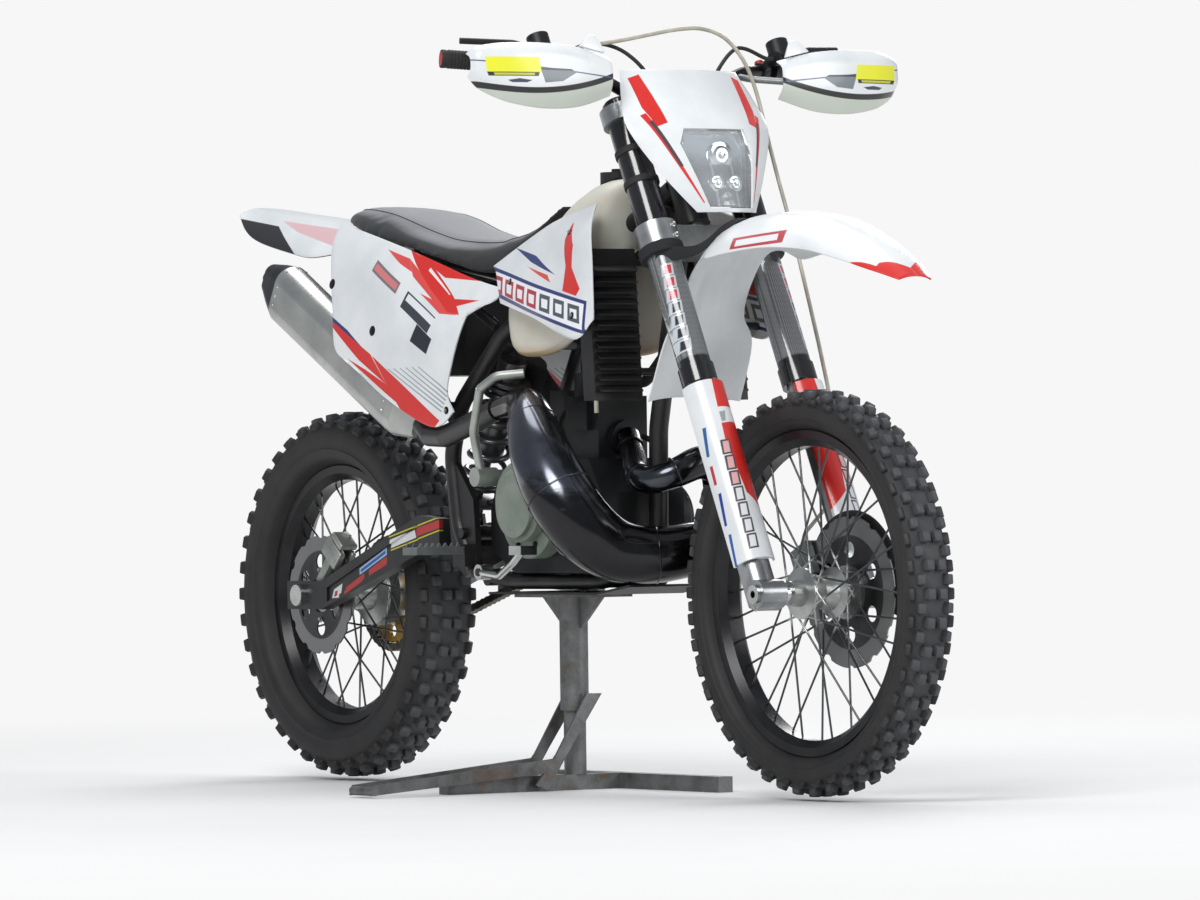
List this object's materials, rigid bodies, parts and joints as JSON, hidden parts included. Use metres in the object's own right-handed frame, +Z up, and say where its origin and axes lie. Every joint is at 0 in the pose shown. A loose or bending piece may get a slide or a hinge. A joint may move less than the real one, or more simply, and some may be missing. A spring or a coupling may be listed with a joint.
{
  "type": "dirt bike on a lift stand",
  "caption": "Two-stroke enduro dirt bike, white with red and blue stripes, with headlight mask and handguards, held upright by a steel lift stand.",
  "frame": {"origin": "on the floor under the middle of the whole bike, in its plane of symmetry", "axes": "+X forward, +Y to the rider's left, +Z up"},
  "size_m": [2.1717, 0.91, 1.3441],
  "materials": {
    "black_plastic": "black moulded plastic",
    "hose_skin": "pale brake hose",
    "silver_alloy": "cast and machined alloy",
    "soft_rubber": "moulded rubber",
    "chain_steel": "oiled chain steel",
    "pipe_steel": "burnt steel chamber",
    "brake_steel": "ground steel",
    "white_plastic": "white moulded plastic with red and blue stripes",
    "polished_tube": "polished fork tube",
    "black_anodised": "black anodised tube",
    "silver_hub": "turned aluminium",
    "black_rim": "black anodised rim",
    "tyre_rubber": "knobbly black rubber",
    "tank_plastic": "translucent tank plastic",
    "clear_lens": "clear lamp lens",
    "black_paint": "black frame paint",
    "radiator_black": "black radiator and louvre",
    "sprocket_alloy": "gold anodised alloy",
    "seat_cover": "grey and black seat cover",
    "shock_steel": "coil spring",
    "grey_steel": "galvanised stand steel"
  },
  "bodies": {
    "chassis": {"airbox": "black_plastic", "brake_pedal": "silver_alloy", "carburettor": "soft_rubber", "chain": "chain_steel", "clutch_cover": "silver_alloy", "crankcase": "silver_alloy", "cylinder": "silver_alloy", "exhaust_pipe": "pipe_steel", "footpegs": "brake_steel", "front_sprocket": "brake_steel", "fuel_tank": "tank_plastic", "ignition_cover": "silver_alloy", "kick_lever": "silver_alloy", "main_frame": "black_paint", "radiator_hoses": "soft_rubber", "radiators": "radiator_black", "rear_axle": "brake_steel", "rear_caliper": "silver_alloy", "rear_fender": "white_plastic", "seat": "seat_cover", "shift_lever": "silver_alloy", "shock_absorber": "shock_steel", "shrouds": "white_plastic", "side_panels": "white_plastic", "silencer": "silver_alloy", "skid_plate": "black_plastic", "stand_base": "grey_steel", "stand_lever": "grey_steel", "stand_post": "grey_steel", "subframe": "silver_alloy", "swingarm": "black_anodised", "tank_cap": "black_plastic"},
    "steering": {"fork_outer_tubes": "black_anodised", "fork_lower_legs": "polished_tube", "front_axle": "brake_steel", "lower_clamp": "silver_alloy", "top_clamp": "silver_alloy", "handlebar": "black_anodised", "grips": "soft_rubber", "controls": "silver_alloy", "handguard_frames": "silver_alloy", "handguards": "white_plastic", "headlight_mask": "white_plastic", "headlight_lens": "clear_lens", "front_fender": "white_plastic", "fork_guards": "white_plastic", "front_caliper": "silver_alloy", "brake_hose": "hose_skin", "control_lines": "soft_rubber"},
    "front_wheel": {"front_tyre": "tyre_rubber", "front_rim": "black_rim", "front_hub": "silver_hub", "front_disc": "brake_steel"},
    "rear_wheel": {"rear_tyre": "tyre_rubber", "rear_rim": "black_rim", "rear_hub": "silver_hub", "rear_disc": "brake_steel", "rear_sprocket": "sprocket_alloy"},
    "side_stand": {"side_stand": "silver_alloy"}
  },
  "joints": [
    {"name": "steering_head", "type": "hinge", "parent": "chassis", "child": "steering", "pos_m": [0.35305, 0, 1.05682], "axis": [-0.4384, 0, 0.8988], "range_deg": [-40, 40]},
    {"name": "front_wheel_spin", "type": "hinge", "parent": "steering", "child": "front_wheel", "pos_m": [0.737, 0, 0.354], "axis": [0, 1, 0], "continuous": true},
    {"name": "rear_wheel_spin", "type": "hinge", "parent": "chassis", "child": "rear_wheel", "pos_m": [-0.745, 0, 0.346], "axis": [0, 1, 0], "continuous": true},
    {"name": "side_stand_fold", "type": "hinge", "parent": "chassis", "child": "side_stand", "pos_m": [-0.122, 0.12, 0.352], "axis": [0.2599, -0.9656, 0], "range_deg": [0, 98]}
  ]
}
